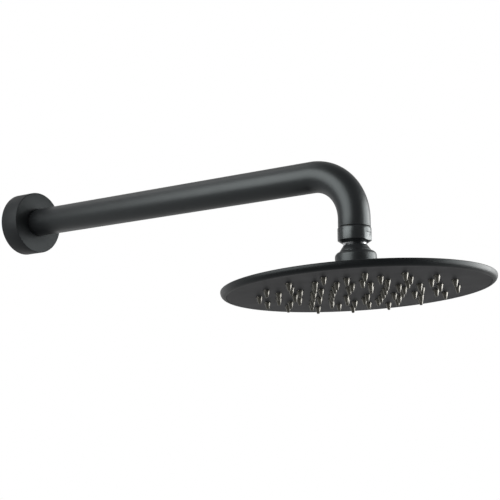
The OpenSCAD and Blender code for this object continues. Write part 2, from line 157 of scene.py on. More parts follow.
class DishSizes(bpy.types.PropertyGroup):
    drop: length("Drop", "From the ball's centre to the head's underside", 0.0385)
    radius: length("Radius", "Radius of the head", 0.100)
    rim: length("Rim height", "Height of the rim", 0.0052)
    rim_low: length("Lower rounding", "Rounding of the rim's lower edge", 0.0038)
    rim_top: length("Upper rounding", "Rounding of the rim's upper edge", 0.0006)
    rim_width: length("Rim width", "From the rim's side to the face plate's recess", 0.0042)
    dome: length("Dome rise", "Height of the dome above the rim", 0.0073)
    wall: length("Shell wall", "Wall thickness of the shell", 0.0015)
    land: length("Land radius", "Radius of the flat under the hub", 0.0165)
    land_wall: length("Land thickness", "Thickness of the shell under that flat", 0.0019)
    inset: length("Face inset", "How far the face lies above the rim's underside", 0.0001)
    face: length("Face thickness", "Thickness of the face plate", 0.0012)
    face_gap: length("Face gap", "Gap round the face plate", 0.00015)
    face_edge: length("Face edge", "Chamfer on the face plate's edge", 0.00015)
    web: length("Mat thickness", "Thickness of the nozzle mat's web", 0.0008)
    backing: length("Backing thickness", "Thickness of the backing plate", 0.0014)
    gasket: length("Gasket thickness", "Thickness of the rim gasket", 0.0006)
    gasket_width: length("Gasket width", "Width of the rim gasket", 0.0056)
    plate: length("Backing radius", "Radius of the backing plate", 0.0931)
    screw_ring: length("Screw ring", "Radius of the ring of plate screws", 0.052425)
    screw: length("Screw radius", "Radius of a plate screw", 0.00125)
    boss: length("Boss radius", "Radius of a screw boss", 0.0032)


class NozzleSizes(bpy.types.PropertyGroup):
    per_ring: IntProperty(name="Nozzles per ring", description="Nozzles in a full ring",
                          default=16, min=6, max=32)
    rings: IntProperty(name="Rings", description="Number of rings", default=5, min=1, max=7)
    ring: length("Ring radius", "Radius of the outermost ring", 0.0717)
    pitch: length("Ring pitch", "Distance from one ring to the next", 0.01285)
    base: length("Base radius", "Radius of a nozzle at the face plate", 0.00242)
    tip: length("Tip radius", "Radius of a nozzle at its tip", 0.0010)
    length: length("Nozzle length", "How far a nozzle stands out of the head", 0.0050)
    jet: length("Jet radius", "Radius of the jet hole in the tip", 0.00055)
    inlet: length("Inlet radius", "Radius of the hole behind a nozzle", 0.0014)
    gap: length("Hole gap", "Gap between a nozzle and its hole in the face", 0.0003)
    edge: length("Hole edge", "Chamfer on the holes of the face plate", 0.0002)


class FinishSettings(bpy.types.PropertyGroup):
    coat: colour("Coat", "Matte black coat of the arm and fittings", (0.0125, 0.0135, 0.0145))
    lacquer: colour("Lacquer", "Matte black lacquer of the head", (0.0055, 0.0062, 0.007))
    face: colour("Face", "Fine matte black of the spray face", (0.0203, 0.0213, 0.0238))
    nozzle: colour("Nozzle", "Soft nozzles", (0.048, 0.048, 0.038))
    chrome: colour("Chrome", "Polished ball", (0.52, 0.53, 0.54))
    brass: colour("Brass", "Threaded fittings", (0.78, 0.56, 0.26))
    steel: colour("Steel", "Screws and strainer", (0.56, 0.56, 0.57))
    seal: colour("Seal", "Rubber rings and gaskets", (0.020, 0.020, 0.021))
    ring: colour("Ring", "Friction ring", (0.78, 0.76, 0.68))
    regulator: colour("Regulator", "Flow regulator", (0.05, 0.26, 0.14))
    plate: colour("Plate", "Backing plate", (0.05, 0.05, 0.055))
    coat_roughness: share("Coat roughness", "Roughness of the coat", 0.36)
    dome_roughness: share("Dome roughness", "Roughness of the lacquer on the dome", 0.52)
    rim_roughness: share("Rim roughness", "Roughness of the lacquer on the rim", 0.40)
    face_roughness: share("Face roughness", "Roughness of the face", 0.50)


class StageSettings(bpy.types.PropertyGroup):
    camera: FloatVectorProperty(name="Camera", description="Place of the camera", size=3,
                                default=(-0.75417, -0.81559, -0.20419),
                                unit="LENGTH", subtype="TRANSLATION")
    azimuth: turn("Azimuth", "Camera's direction round the object", -53.36)
    elevation: turn("Elevation", "Camera's height as an angle", -9.36)
    roll: turn("Roll", "Camera's roll", -0.37)
    lens: FloatProperty(name="Lens", description="Focal length on a 36 mm sensor",
                        default=88.317, min=10.0, unit="CAMERA")
    fill: share("Fill", "Strength of the even light from all round", 0.35, 4.0)
    mirrored: share("Mirrored backdrop", "Strength of the backdrop in reflections", 0.45)
    dark_height: turn("Dark side height", "How high the dark side of the studio reaches", 30.0)
    dark: share("Dark side", "Strength of the backdrop in reflections at the camera's side", 0.1)
    dark_from: share("Dark side start", "Nearness to the camera's side at which it darkens", -0.3)
    dark_to: share("Dark side end", "Nearness to the camera's side at which it is dark", 0.6)
    floor_glow: share("Floor glow", "Strength of the backdrop's white on the floor", 0.5)
    left_power: FloatProperty(name="Left power", description="Power of the left soft box",
                              default=12.8, min=0.0, unit="POWER")
    right_power: FloatProperty(name="Right power", description="Power of the right soft box",
                               default=2.0, min=0.0, unit="POWER")
    near_power: FloatProperty(name="Near power", description="Power of the near right soft box",
                              default=4.7, min=0.0, unit="POWER")
    back_power: FloatProperty(name="Back power", description="Power of the back left soft box",
                              default=0.3, min=0.0, unit="POWER")
    high_power: FloatProperty(name="High power", description="Power of the high back soft box",
                              default=0.6, min=0.0, unit="POWER")
    floor: length("Floor drop", "From the origin down to the floor", 2.1)
    floor_size: length("Floor size", "Side of the floor", 14.0)


class ShowerHead(bpy.types.PropertyGroup):
    arm: PointerProperty(type=ArmSizes, name="Arm")
    inlet: PointerProperty(type=InletSizes, name="Inlet")
    flange: PointerProperty(type=FlangeSizes, name="Flange")
    nut: PointerProperty(type=NutSizes, name="Swivel nut")
    ball: PointerProperty(type=BallSizes, name="Ball")
    hub: PointerProperty(type=HubSizes, name="Hub")
    dish: PointerProperty(type=DishSizes, name="Dish")
    nozzle: PointerProperty(type=NozzleSizes, name="Nozzles")
    finish: PointerProperty(type=FinishSettings, name="Finishes")
    stage: PointerProperty(type=StageSettings, name="Stage")


# ---- places

def out_of_wall():
    """Local Z becomes the direction into the room."""
    return Matrix.Rotation(math.radians(90), 4, "X")


def into_wall():
    """Local Z becomes the direction into the wall."""
    return Matrix.Rotation(math.radians(-90), 4, "X")


def at_ball(head):
    arm, ball = head.arm, head.ball
    return Matrix.Translation((0.0, -arm.reach, -(arm.bend + arm.drop + ball.depth)))


def in_head(head):
    ball = head.ball
    return (at_ball(head) @ Matrix.Rotation(-ball.tilt, 4, "X")
            @ Matrix.Rotation(ball.spin, 4, "Z"))


def in_dish(head):
    return in_head(head) @ Matrix.Translation((0.0, 0.0, -head.dish.drop))


# ---- drawing and turning

class Line:
    """A line in the XZ half plane, drawn from point to point, to be turned about Z."""

    def __init__(self, bm, r, z):
        self.bm = bm
        self.first = self.last = bm.verts.new((r, 0.0, z))

    def to(self, *points):
        for r, z in points:
            made = bmesh.ops.extrude_vert_indiv(self.bm, verts=[self.last])
            self.last = made["verts"][0]
            self.last.co = (r, 0.0, z)
        return self

    def arc(self, r, z, angle, steps):
        """Turns on about (r, z); a positive angle runs clockwise, with Z up and X to the right."""
        made = bmesh.ops.spin(self.bm, geom=[self.last], cent=(r, 0.0, z), axis=(0.0, 1.0, 0.0),
                              angle=angle, steps=steps)
        self.last = [g for g in made["geom_last"] if isinstance(g, bmesh.types.BMVert)][0]
        return self

    def close(self):
        self.bm.edges.new((self.last, self.first))
        return self

    def turned(self, steps=ROUND):
        spin_all(self.bm, steps)
        return self.bm


def spin_all(bm, steps, rise=0.0):
    """Turns everything about Z through a full turn, which climbs by rise."""
    bmesh.ops.spin(bm, geom=bm.verts[:] + bm.edges[:], axis=(0.0, 0.0, 1.0), cent=(0.0, 0.0, 0.0),
                   dvec=(0.0, 0.0, rise / steps), angle=TURN, steps=steps, use_merge=rise == 0.0)
    bmesh.ops.remove_doubles(bm, verts=bm.verts, dist=MERGE)


def ring_at(bm, r, z, near=2e-6):
    """The edges that lie on the circle of radius r at height z."""
    return [e for e in bm.edges
            if all(abs(v.co.xy.length - r) < near and abs(v.co.z - z) < near for v in e.verts)]


def soften(bm, corners, width, segments=3):
    """Rounds the turned corners at these (radius, height) points."""
    for r, z in corners:
        bmesh.ops.bevel(bm, geom=ring_at(bm, r, z), offset=width, offset_type="OFFSET",
                        segments=segments, profile=0.5, affect="EDGES", material=-1)


def joined(bm, other, place=Matrix.Identity(4)):
    """Adds another bmesh, put in place, and frees it."""
    other.transform(place)
    mesh = bpy.data.meshes.new("joined")
    other.to_mesh(mesh)
    other.free()
    bm.from_mesh(mesh)
    bpy.data.meshes.remove(mesh)


def piece(name, bm, material, body, slot, *nodes, place=None):
    """Makes the bmesh a finished piece that stands for the CAD nodes and rides on their body."""
    bmesh.ops.remove_doubles(bm, verts=bm.verts, dist=MERGE)
    bmesh.ops.recalc_face_normals(bm, faces=bm.faces)
    if place is not None:
        bm.transform(place)
    for face in bm.faces:
        face.smooth = True
    for edge in bm.edges:
        edge.smooth = edge.is_manifold and edge.calc_face_angle(0.0) < SHARP
    mesh = bpy.data.meshes.new(name)
    bm.to_mesh(mesh)
    bm.free()
    mesh.materials.append(material)
    obj = bpy.data.objects.new(name, mesh)
    bpy.context.scene.collection.objects.link(obj)
    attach(obj, body)
    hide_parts(*nodes)
    return obj


def dress(material, *nodes):
    """Gives CAD nodes that stay as they are a finished material."""
    for name in nodes:
        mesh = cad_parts[name].data
        mesh.materials.clear()
        mesh.materials.append(material)


# ---- finishes

class Nodes:
    """The node tree of one material, with short ways to add and link nodes."""

    def __init__(self, name):
        self.material = bpy.data.materials.new(name)
        self.material.use_nodes = True
        self.tree = self.material.node_tree
        self.shader = self.tree.nodes["Principled BSDF"]
        self.place = self.tree.nodes.new("ShaderNodeTexCoord").outputs["Object"]

    def add(self, kind, **settings):
        node = self.tree.nodes.new(kind)
        for key, value in settings.items():
            setattr(node, key, value)
        return node

    def link(self, a, b):
        self.tree.links.new(a, b)

    def stretched(self, scale):
        mapping = self.add("ShaderNodeMapping")
        mapping.inputs["Scale"].default_value = scale
        self.link(self.place, mapping.inputs["Vector"])
        return mapping.outputs["Vector"]

    def noise(self, scale, detail=3.0, vector=None):
        node = self.add("ShaderNodeTexNoise")
        node.inputs["Scale"].default_value = scale
        node.inputs["Detail"].default_value = detail
        self.link(vector or self.place, node.inputs["Vector"])
        return node.outputs["Fac"]

    def between(self, value, low, high):
        """Spreads a noise value over a range, clamped."""
        node = self.add("ShaderNodeMapRange")
        node.inputs["From Min"].default_value = 0.3
        node.inputs["From Max"].default_value = 0.7
        node.inputs["To Min"].default_value = low
        node.inputs["To Max"].default_value = high
        self.link(value, node.inputs["Value"])
        return node.outputs["Result"]

    def tint(self, value, base, spread):
        """Base colour that varies by a share either way with a noise value."""
        node = self.add("ShaderNodeMix", data_type="RGBA")
        node.inputs["A"].default_value = (*[c * (1.0 - spread) for c in base], 1.0)
        node.inputs["B"].default_value = (*[min(1.0, c * (1.0 + spread)) for c in base], 1.0)
        self.link(self.between(value, 0.0, 1.0), node.inputs["Factor"])
        self.link(node.outputs["Result"], self.shader.inputs["Base Color"])

    def bump(self, height, distance, strength=1.0):
        node = self.add("ShaderNodeBump")
        node.inputs["Distance"].default_value = distance
        node.inputs["Strength"].default_value = strength
        self.link(height, node.inputs["Height"])
        self.link(node.outputs["Normal"], self.shader.inputs["Normal"])

    def rough(self, value, low, high):
        self.link(self.between(value, low, high), self.shader.inputs["Roughness"])

    def outwards(self, centre, inner, outer, low, high):
        """Goes from one number to another with the distance from an upright axis."""
        level = self.add("ShaderNodeVectorMath", operation="MULTIPLY_ADD")
        level.inputs[1].default_value = (1.0, 1.0, 0.0)
        level.inputs[2].default_value = (-centre.x, -centre.y, 0.0)
        away = self.add("ShaderNodeVectorMath", operation="LENGTH")
        node = self.add("ShaderNodeMapRange")
        node.inputs["From Min"].default_value = inner
        node.inputs["From Max"].default_value = outer
        node.inputs["To Min"].default_value = low
        node.inputs["To Max"].default_value = high
        self.link(self.place, level.inputs[0])
        self.link(level.outputs["Vector"], away.inputs[0])
        self.link(away.outputs["Value"], node.inputs["Value"])
        return node.outputs["Result"]


def coat(name, base, roughness, grain=1500.0, depth=0.000012, specular=0.5,
         cool=(0.91, 1.0, 1.0, 1.0)):
    """Sprayed matte coat: even colour, fine orange peel, slight patches of gloss."""
    n = Nodes(name)
    n.tint(n.noise(60.0, 4.0), base, 0.10)
    n.rough(n.noise(35.0, 3.0), roughness - 0.03, roughness + 0.03)
    n.bump(n.noise(grain, 2.0), depth)
    n.shader.inputs["Specular IOR Level"].default_value = specular
    n.shader.inputs["Specular Tint"].default_value = cool
    return n.material


def lacquer(name, head):
    """Matte lacquer of the dish, duller on the dome than on the smooth rim."""
    f, rim = head.finish, head.dish.radius
    n = Nodes(name)
    n.tint(n.noise(60.0, 4.0), f.lacquer, 0.10)
    centre = in_dish(head).translation
    dulled = n.outwards(centre, 0.94 * rim, 0.985 * rim, f.dome_roughness, f.rim_roughness)
    patches = n.between(n.noise(35.0, 3.0), -0.03, 0.03)
    n.link(calculated(n.tree, "ADD", dulled, patches), n.shader.inputs["Roughness"])
    n.bump(n.noise(1900.0, 2.0), 0.000012)
    n.shader.inputs["Specular IOR Level"].default_value = 0.3
    n.shader.inputs["Specular Tint"].default_value = (0.91, 1.0, 1.0, 1.0)
    return n.material


def turned_metal(name, base, roughness, spread=0.06, depth=0.000004, lines=(900.0, 900.0, 9000.0)):
    """Machined or polished metal with faint tool lines."""
    n = Nodes(name)
    n.tint(n.noise(120.0, 3.0), base, spread)
    fine = n.noise(1.0, 2.0, n.stretched(lines))
    n.rough(fine, roughness * 0.8, roughness * 1.25)
    n.bump(fine, depth)
    n.shader.inputs["Metallic"].default_value = 1.0
    return n.material


def moulded(name, base, roughness, spread=0.12, grain=900.0, depth=0.000015, specular=0.5,
            warm=(1.0, 1.0, 1.0), index=1.5):
    """Moulded rubber or plastic with a fine skin."""
    n = Nodes(name)
    n.tint(n.noise(200.0, 3.0), base, spread)
    n.rough(n.noise(260.0, 2.0), roughness - 0.04, roughness + 0.04)
    n.bump(n.noise(grain, 2.0), depth)
    n.shader.inputs["Specular IOR Level"].default_value = specular
    n.shader.inputs["Specular Tint"].default_value = (*warm, 1.0)
    n.shader.inputs["IOR"].default_value = index
    return n.material


def finishes(head):
    """All finishes by name, made once."""
    f = head.finish
    makers = {
        "coat": lambda: coat("matte black coat", f.coat, f.coat_roughness),
        "lacquer": lambda: lacquer("matte black lacquer", head),
        "nut": lambda: coat("satin black coat", f.coat, f.coat_roughness - 0.08, specular=0.7),
        "flange": lambda: coat("dull black coat", f.coat, f.coat_roughness + 0.14, specular=0.22),
        "face": lambda: coat("fine matte face", f.face, f.face_roughness, grain=2600.0,
                             depth=0.000008, specular=0.14, cool=(1.0, 1.0, 1.0, 1.0)),
        "nozzle": lambda: moulded("soft nozzle", f.nozzle, 0.18, depth=0.000004, specular=1.0,
                                  warm=(1.0, 0.96, 0.86), index=1.65),
        "chrome": lambda: turned_metal("polished chrome", f.chrome, 0.08, spread=0.03,
                                       depth=0.000001),
        "brass": lambda: turned_metal("machined brass", f.brass, 0.28),
        "steel": lambda: turned_metal("plain steel", f.steel, 0.32),
        "seal": lambda: moulded("seal rubber", f.seal, 0.46),
        "ring": lambda: moulded("slippery ring", f.ring, 0.38, spread=0.05),
        "regulator": lambda: moulded("regulator plastic", f.regulator, 0.35),
        "plate": lambda: moulded("moulded plate", f.plate, 0.50),
    }
    return {key: bpy.data.materials.get(key) or named(key, make) for key, make in makers.items()}


def named(key, make):
    material = make()
    material["finish"] = material.name
    material.name = key
    return material


# ---- pieces

class PieceOperator(bpy.types.Operator):
    bl_options = {"REGISTER", "UNDO"}

    def execute(self, context):
        head = context.scene.shower_head
        self.build(head, finishes(head))
        return {"FINISHED"}


class SHOWER_OT_arm_tube(PieceOperator):
    """Bent tube of the arm, with softened cut ends"""
    bl_idname = "shower.arm_tube"
    bl_label = "Arm Tube"

    def build(self, head, finish):
        arm = head.arm
        bend_at = arm.reach - arm.bend
        bm = bmesh.new()
        bmesh.ops.create_circle(bm, segments=SMALL_ROUND, radius=arm.radius, cap_ends=False,
                                matrix=Matrix.Translation((0.0, -arm.start, 0.0)) @ out_of_wall())
        last = bm.edges[:]

        def run_on(edges, move):
            made = bmesh.ops.extrude_edge_only(bm, edges=edges)["geom"]
            bmesh.ops.translate(bm, vec=move,
                                verts=[g for g in made if isinstance(g, bmesh.types.BMVert)])
            return [g for g in made if isinstance(g, bmesh.types.BMEdge)
                    and len(g.link_faces) == 1]

        last = run_on(last, (0.0, arm.start - bend_at, 0.0))
        verts = list({v for e in last for v in e.verts})
        made = bmesh.ops.spin(bm, geom=verts + last, cent=(0.0, -bend_at, -arm.bend),
                              axis=(1.0, 0.0, 0.0), angle=math.radians(90), steps=64)
        last = [g for g in made["geom_last"] if isinstance(g, bmesh.types.BMEdge)]
        run_on(last, (0.0, 0.0, -arm.drop))
        bmesh.ops.recalc_face_normals(bm, faces=bm.faces)
        bmesh.ops.solidify(bm, geom=bm.faces[:], thickness=arm.wall)
        ends = [e for e in bm.edges if e.calc_face_angle(0.0) > math.radians(60)]
        bmesh.ops.bevel(bm, geom=ends, offset=arm.edge, offset_type="OFFSET", segments=3,
                        profile=0.5, affect="EDGES", material=-1)
        piece("arm_tube_coated", bm, finish["coat"], "arm", "arm_black", "arm_tube")


class SHOWER_OT_wall_flange(PieceOperator):
    """Cup-shaped flange that slides on the tube, with its sealing ring"""
    bl_idname = "shower.wall_flange"
    bl_label = "Wall Flange"

    def build(self, head, finish):
        f, tube = head.flange, head.arm.radius
        bore = tube + f.gap
        groove = tube + 0.00005 + f.ring + 0.00003
        half = (f.ring + 0.0005) / 2
        middle = f.depth - f.collar / 2
        collar = groove + f.collar_wall
        behind = f.depth - f.front
        bm = bmesh.new()
        Line(bm, f.radius - f.wall, 0.0).to(
            (f.radius, 0.0), (f.radius, f.depth), (bore, f.depth),
            (bore, middle + half), (groove, middle + half), (groove, middle - half),
            (bore, middle - half), (bore, f.depth - f.collar), (collar, f.depth - f.collar),
            (collar, behind), (f.radius - f.wall, behind)).close().turned()
        soften(bm, [(f.radius, f.depth)], f.edge, 4)
        soften(bm, [(bore, f.depth)], 0.0003)
        soften(bm, [(f.radius, 0.0), (f.radius - f.wall, 0.0)], 0.0002, 2)
        soften(bm, [(collar, behind), (f.radius - f.wall, behind)], 0.0006)
        piece("wall_flange_coated", bm, finish["flange"], "flange", "flange_black", "wall_flange",
              place=out_of_wall())
        bm = bmesh.new()
        ring = Line(bm, tube + 0.00005, middle)
        ring.arc(tube + 0.00005 + f.ring / 2, middle, TURN, 24)
        bmesh.ops.remove_doubles(bm, verts=bm.verts, dist=MERGE)
        spin_all(bm, SMALL_ROUND)
        piece("flange_sealing_ring", bm, finish["seal"], "flange", "seal_rubber",
              "flange_o_ring", place=out_of_wall())


class SHOWER_OT_inlet_fitting(PieceOperator):
    """Brazed brass fitting with a cut pipe thread for the wall"""
    bl_idname = "shower.inlet_fitting"
    bl_label = "Inlet Fitting"

    def build(self, head, finish):
        t, tube = head.inlet, head.arm
        spigot = tube.radius - tube.wall - 0.00005
        root = t.radius - t.depth
        neck = 0.0012 - t.shoulder
        bm = bmesh.new()
        Line(bm, t.bore, -tube.start - t.spigot).to(
            (spigot, -tube.start - t.spigot), (spigot, -tube.start), (tube.radius, -tube.start),
            (tube.radius, -t.shoulder), (root, -t.shoulder), (root, neck),
            (t.bore, neck)).close().turned(SMALL_ROUND)
        soften(bm, [(spigot, -tube.start - t.spigot)], 0.0004, 2)
        soften(bm, [(tube.radius, -t.shoulder), (tube.radius, -tube.start)], FINE_EDGE, 2)

        thread = bmesh.new()
        turns = math.ceil((t.length - neck) / t.pitch) + 2
        line = Line(thread, root, neck - t.pitch)
        for k in range(turns):
            low = neck + (k - 1) * t.pitch
            line.to((t.radius, low + 0.42 * t.pitch), (t.radius, low + 0.58 * t.pitch),
                    (root, low + 0.94 * t.pitch), (root, low + t.pitch))
        spin_all(thread, SMALL_ROUND, rise=t.pitch)
        for level, normal in ((neck, -1.0), (t.length, 1.0)):
            bmesh.ops.bisect_plane(thread, geom=thread.verts[:] + thread.edges[:] + thread.faces[:],
                                   plane_co=(0.0, 0.0, level), plane_no=(0.0, 0.0, normal),
                                   dist=MERGE, clear_outer=True)
        for v in thread.verts:
            limit = t.radius - max(0.0, v.co.z - (t.length - t.lead), neck + t.lead - v.co.z)
            if v.co.xy.length > limit:
                v.co.xy *= limit / v.co.xy.length
        bore = bmesh.ops.create_circle(thread, segments=SMALL_ROUND, radius=t.bore,
                                       matrix=Matrix.Translation((0.0, 0.0, neck)))["verts"]
        lower = list({e for v in bore for e in v.link_edges})
        made = bmesh.ops.extrude_edge_only(thread, edges=lower)["geom"]
        bmesh.ops.translate(thread, vec=(0.0, 0.0, t.length - neck),
                            verts=[g for g in made if isinstance(g, bmesh.types.BMVert)])
        for level in (neck, t.length):
            rims = [e for e in thread.edges if len(e.link_faces) == 1
                    and all(abs(v.co.z - level) < 1e-6 for v in e.verts)]
            bmesh.ops.bridge_loops(thread, edges=rims)
        joined(bm, thread)
        piece("inlet_fitting_threaded", bm, finish["brass"], "arm", "fitting_brass",
              "inlet_nipple", place=into_wall())


class SHOWER_OT_swivel_nut(PieceOperator):
    """Round nut with two spanner flats and the lip that carries the ball"""
    bl_idname = "shower.swivel_nut"
    bl_label = "Swivel Nut"

    def build(self, head, finish):
        nut, ball = head.nut, head.ball
        socket = ball.radius + ball.gap
        top = ball.depth - nut.seam
        mouth = math.sqrt(socket ** 2 - ball.lip ** 2)
        bm = bmesh.new()
        line = Line(bm, mouth, -ball.lip)
        line.to((mouth + 0.00036, -ball.lip), (nut.radius, nut.bevel - ball.lip),
                (nut.radius, top - nut.top_edge), (nut.radius - nut.top_width, top),
                (nut.thread, top), (nut.thread, nut.step),
                (socket + 0.0001, nut.step), (socket + 0.0001, 0.0), (socket, 0.0))
        line.arc(0.0, 0.0, math.asin(ball.lip / socket), 8)
        bmesh.ops.remove_doubles(bm, verts=bm.verts, dist=MERGE)
        spin_all(bm, SMALL_ROUND)
        for side in (-1, 1):
            self.cut_flat(bm, side, nut.flats / 2, nut.flats_top)
        edges = [e for e in bm.edges if e.calc_face_angle(0.0) > SHARP
                 and all(v.co.xy.length > 0.0099 for v in e.verts)]
        bmesh.ops.bevel(bm, geom=edges, offset=FINE_EDGE, offset_type="OFFSET", segments=2,
                        profile=0.5, affect="EDGES", material=-1)
        piece("swivel_nut_coated", bm, finish["nut"], "arm", "nut_black", "swivel_nut",
              place=at_ball(head))

    def cut_flat(self, bm, side, half, top):
        """Cuts one flat up to its ledge and closes the two new faces."""
        for point, normal in (((0.0, side * half, 0.0), (0.0, side, 0.0)),
                              ((0.0, 0.0, top), (0.0, 0.0, 1.0))):
            bmesh.ops.bisect_plane(bm, geom=bm.verts[:] + bm.edges[:] + bm.faces[:],
                                   plane_co=point, plane_no=normal, dist=MERGE)
        cut = [f for f in bm.faces if side * f.calc_center_median().y > half
               and f.calc_center_median().z < top]
        bmesh.ops.delete(bm, geom=cut, context="FACES")
        on_flat = [v for v in bm.verts if v.is_boundary and abs(side * v.co.y - half) < 1e-6]
        ends = [v for v in on_flat if abs(v.co.z - top) < 1e-6]
        bm.edges.new(ends)
        for test in (lambda v: abs(side * v.co.y - half) < 1e-6,
                     lambda v: abs(v.co.z - top) < 1e-6):
            loop = [e for e in bm.edges if len(e.link_faces) < 2
                    and all(test(v) and side * v.co.y > 0.0 for v in e.verts)]
            bmesh.ops.contextual_create(bm, geom=loop)


class SHOWER_OT_ball(PieceOperator):
    """Polished ball with its shank, bore and regulator seat"""
    bl_idname = "shower.ball"
    bl_label = "Ball"

    def build(self, head, finish):
        b = head.ball
        low = math.asin(math.sqrt(b.radius ** 2 - b.shank ** 2) / b.radius)
        high = math.asin(b.flat / b.radius)
        bm = bmesh.new()
        line = Line(bm, b.bore, -b.shank_length)
        line.to((b.shank - 0.0008, -b.shank_length), (b.shank, 0.0008 - b.shank_length),
                (b.shank, -math.sqrt(b.radius ** 2 - b.shank ** 2)))
        line.arc(0.0, 0.0, -(low + high), 40)
        line.to((b.seat, b.flat), (b.seat, b.flat - b.seat_depth),
                (b.bore, b.flat - b.seat_depth)).close().turned(SMALL_ROUND)
        soften(bm, [(b.seat, b.flat)], 0.0002, 2)
        piece("ball_polished", bm, finish["chrome"], "head", "ball_chrome", "ball_stud",
              place=in_head(head))


class SHOWER_OT_collar_and_hub(PieceOperator):
    """Conical collar and round hub between the ball and the dish"""
    bl_idname = "shower.collar_and_hub"
    bl_label = "Collar and Hub"

    def build(self, head, finish):
        h, b = head.hub, head.ball
        low = -(h.collar_top + h.collar_height)
        clear = b.radius + 0.0001
        inner = b.shank + 0.0001
        meet = -math.sqrt(clear ** 2 - inner ** 2)
        bm = bmesh.new()
        line = Line(bm, inner, low)
        line.to((h.collar_large - 0.00025, low), (h.collar_large, low + 0.00025),
                (h.collar_large, low + 0.0005), (h.collar_small, -h.collar_top))
        cup = math.sqrt(clear ** 2 - h.collar_top ** 2)
        line.to((cup, -h.collar_top))
        line.arc(0.0, 0.0, math.atan2(-meet, inner) - math.atan2(h.collar_top, cup), 6)
        line.close().turned(SMALL_ROUND)
        soften(bm, [(h.collar_small, -h.collar_top)], 0.00008, 2)
        piece("stud_collar_coated", bm, finish["coat"], "head", "collar_black", "stud_collar",
              place=in_head(head))

        bm = bmesh.new()
        pocket = b.shank + 0.00005
        floor = -b.shank_length - 0.0006
        line = Line(bm, pocket, low)
        line.to((h.radius - h.shoulder, low))
        line.arc(h.radius - h.shoulder, low - h.shoulder, math.radians(90), 14)
        line.to((h.radius, -h.bottom), (h.spigot, -h.bottom), (h.spigot, 0.0008 - h.spigot_low),
                (h.spigot - 0.0008, -h.spigot_low), (b.bore + 0.0005, -h.spigot_low),
                (b.bore + 0.0005, floor), (pocket, floor)).close().turned(SMALL_ROUND)
        soften(bm, [(h.radius, -h.bottom)], 0.0002, 2)
        piece("hub_coated", bm, finish["coat"], "head", "hub_black", "hub", place=in_head(head))


class SHOWER_OT_dish(PieceOperator):
    """Slim domed shell with its rounded rim, ledge and screw bosses"""
    bl_idname = "shower.dish"
    bl_label = "Dish"

    def build(self, head, finish):
        d, hub = head.dish, head.hub
        face_high = d.inset + d.face
        backing_high = face_high + d.web + d.backing
        ledge = backing_high + d.gasket
        land_high = d.rim + d.dome
        recess = d.radius - d.rim_width
        inner = d.plate - d.gasket_width
        hole = hub.spigot + 0.00015
        # the dome lies on a ball through the rim's top edge and the edge of the land
        edge_r = d.radius - d.rim_top
        centre = ((land_high ** 2 + d.land ** 2 - d.rim ** 2 - edge_r ** 2)
                  / (2.0 * (land_high - d.rim)))
        ball = math.hypot(edge_r, d.rim - centre)
        lining = ball - d.wall

        def on(radius, r):
            return centre + math.sqrt(radius ** 2 - r ** 2)

        def angle(radius, r0, r1):
            return math.asin(r1 / radius) - math.asin(r0 / radius)

        land_low = land_high - d.land_wall
        lining_top = math.sqrt(lining ** 2 - (land_low - centre) ** 2) if land_low > centre else 0.0
        bm = bmesh.new()
        line = Line(bm, hole, land_low)
        line.to((hole, land_high), (d.land, land_high))
        line.arc(0.0, centre, angle(ball, d.land, edge_r), 72)
        line.to((d.radius, d.rim - d.rim_top))
        line.to((d.radius, d.rim_low))
        line.arc(d.radius - d.rim_low, d.rim_low, math.radians(90), 12)
        line.to((recess, 0.0), (recess, face_high + 0.0001), (d.plate + d.face_gap, face_high + 0.0001),
                (d.plate + d.face_gap, ledge), (inner, ledge), (inner, on(lining, inner)))
        line.arc(0.0, centre, -angle(lining, lining_top, inner), 60)
        line.close()
        bmesh.ops.remove_doubles(bm, verts=bm.verts, dist=MERGE)
        line.turned()
        soften(bm, [(recess, 0.0)], FINE_EDGE, 2)
        soften(bm, [(d.radius, d.rim - d.rim_top), (edge_r, d.rim)], 0.0003, 3)
        for k in range(8):
            boss = bmesh.new()
            top = on(ball, d.screw_ring) - d.wall / 2
            Line(boss, d.screw + 0.00005, backing_high).to(
                (d.boss, backing_high), (d.boss, top),
                (d.screw + 0.00005, top)).close().turned(24)
            joined(bm, boss, Matrix.Rotation((2 * k + 0.25) * TURN / 16, 4, "Z")
                   @ Matrix.Translation((d.screw_ring, 0.0, 0.0)))
        piece("dish_lacquered", bm, finish["lacquer"], "head", "shell_black", "top_shell",
              place=in_dish(head))


def nozzle_places(n):
    """Turn and radius of every nozzle; each second ring sits between its neighbours."""
    for k in range(n.rings):
        count = n.per_ring // 2 if k == n.rings - 1 else n.per_ring
        start = TURN / (2 * n.per_ring) if k % 2 == 0 else 0.0
        for i in range(count):
            yield start + i * TURN / count, n.ring - k * n.pitch


def perforated(bm, outer, z, holes, hole_r):
    """A flat disc at height z with a round hole at every nozzle."""
    before = set(bm.edges)
    bmesh.ops.create_circle(bm, segments=ROUND, radius=outer,
                            matrix=Matrix.Translation((0.0, 0.0, z)))
    for angle, r in holes:
        bmesh.ops.create_circle(bm, segments=NOZZLE_ROUND, radius=hole_r,
                                matrix=Matrix.Rotation(angle, 4, "Z")
                                @ Matrix.Translation((r, 0.0, z)))
    bmesh.ops.triangle_fill(bm, use_beauty=True, edges=[e for e in bm.edges if e not in before])


